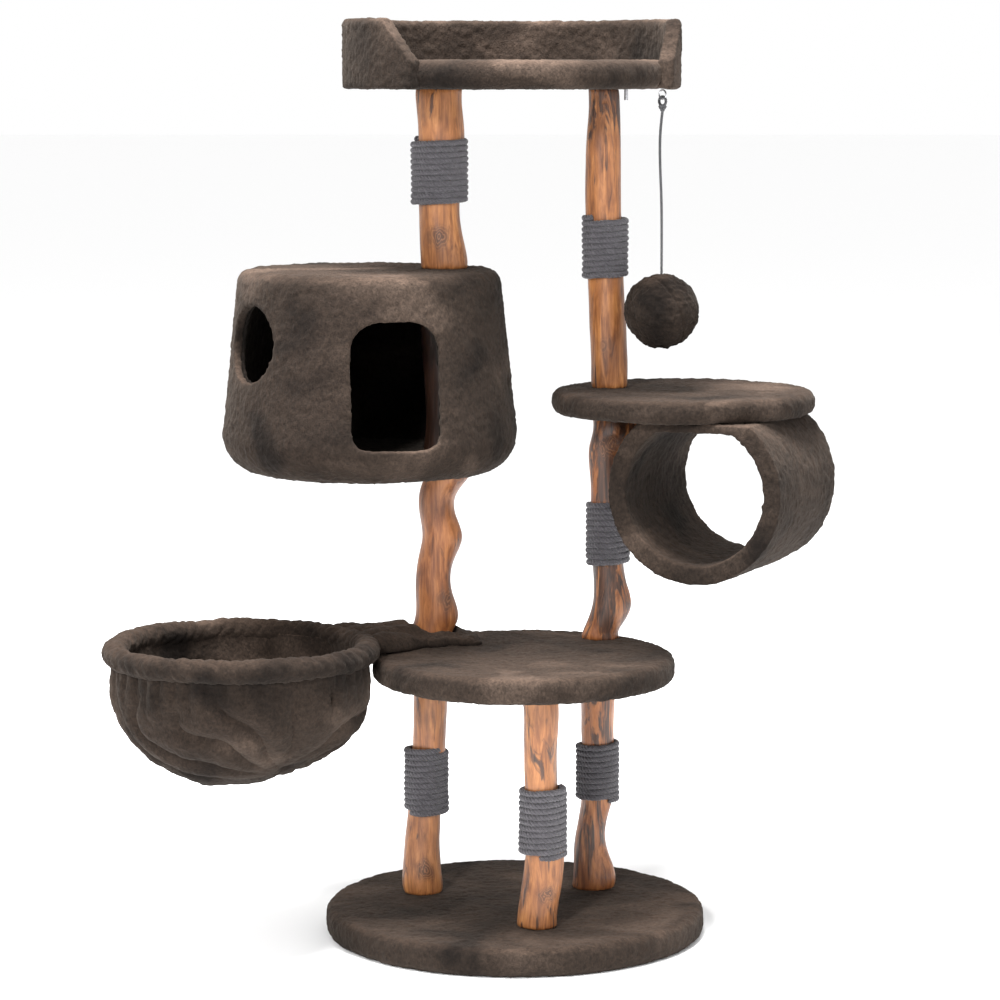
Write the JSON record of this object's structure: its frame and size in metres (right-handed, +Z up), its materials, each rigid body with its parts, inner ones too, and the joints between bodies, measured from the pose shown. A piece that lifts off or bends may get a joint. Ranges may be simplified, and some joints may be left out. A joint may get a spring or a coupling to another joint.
{
  "type": "cat tree",
  "caption": "Free-standing cat tree with natural wood posts, plush platforms, a round house, a tunnel, a hammock, a walled bed and a hanging ball.",
  "frame": {"origin": "centre of the round base's underside, on the floor", "axes": "+Z up; +X from the hammock side to the tunnel side; +Y to the back"},
  "size_m": [1.1434, 0.6663, 1.44],
  "materials": {
    "board": "raw chipboard and fibreboard",
    "plush": "long pile plush, dark brown",
    "lining": "plush lining, dark brown",
    "backing": "thin black felt",
    "post_wood": "varnished natural wood with knots and bark streaks",
    "steel": "zinc plated",
    "black_steel": "black paint",
    "rope": "three-strand twisted rope, charcoal grey",
    "cord": "thin twisted cord, grey"
  },
  "bodies": {
    "tree": {"base_board": "board", "mid_board": "board", "side_board": "board", "bed_board": "board", "house_floor_board": "board", "house_top_board": "board", "house_wall": "board", "tunnel_core": "board", "bed_wall": "board", "base_plush": "plush", "mid_plush": "plush", "side_plush": "plush", "bed_plush": "plush", "house_plush": "plush", "tunnel_plush": "plush", "bed_wall_plush": "plush", "house_lining": "lining", "tunnel_lining": "lining", "base_backing": "backing", "post_lower_left": "post_wood", "post_lower_front": "post_wood", "post_lower_right": "post_wood", "post_middle_left": "post_wood", "post_upper_left": "post_wood", "post_middle_right": "post_wood", "post_upper_right": "post_wood", "house_post": "post_wood", "base_bolts": "steel", "base_washers": "steel", "mid_studs": "steel", "mid_front_bolt": "steel", "side_stud": "steel", "house_studs": "steel", "bed_bolts": "steel", "bed_spare_bolt": "steel", "tunnel_bolts": "steel", "toy_eye": "steel", "rope_upper_left": "rope", "rope_upper_right": "rope", "rope_middle_right": "rope", "rope_lower_left": "rope", "rope_lower_front": "rope", "rope_lower_right": "rope"},
    "hammock": {"hammock_bracket": "black_steel", "hammock_hoop": "black_steel", "hammock_sleeve": "plush", "hammock_bowl": "plush", "hammock_neck": "plush"},
    "toy_link": {"toy_loop": "cord", "toy_knot": "cord"},
    "toy": {"toy_cord": "cord", "toy_ball": "plush"}
  },
  "joints": [
    {"name": "hammock_swivel", "type": "hinge", "parent": "tree", "child": "hammock", "pos_m": [-0.132, 0.066, 0.456], "axis": [0, 0, 1], "range_deg": [-60, 0]},
    {"name": "toy_swing_across", "type": "hinge", "parent": "tree", "child": "toy_link", "pos_m": [0.229, 0.025, 1.3164], "axis": [-0.7071, 0.7071, 0], "range_deg": [-60, 60]},
    {"name": "toy_swing_out", "type": "hinge", "parent": "toy_link", "child": "toy", "pos_m": [0.229, 0.025, 1.3034], "axis": [0.7071, 0.7071, 0], "range_deg": [-60, 3]}
  ]
}
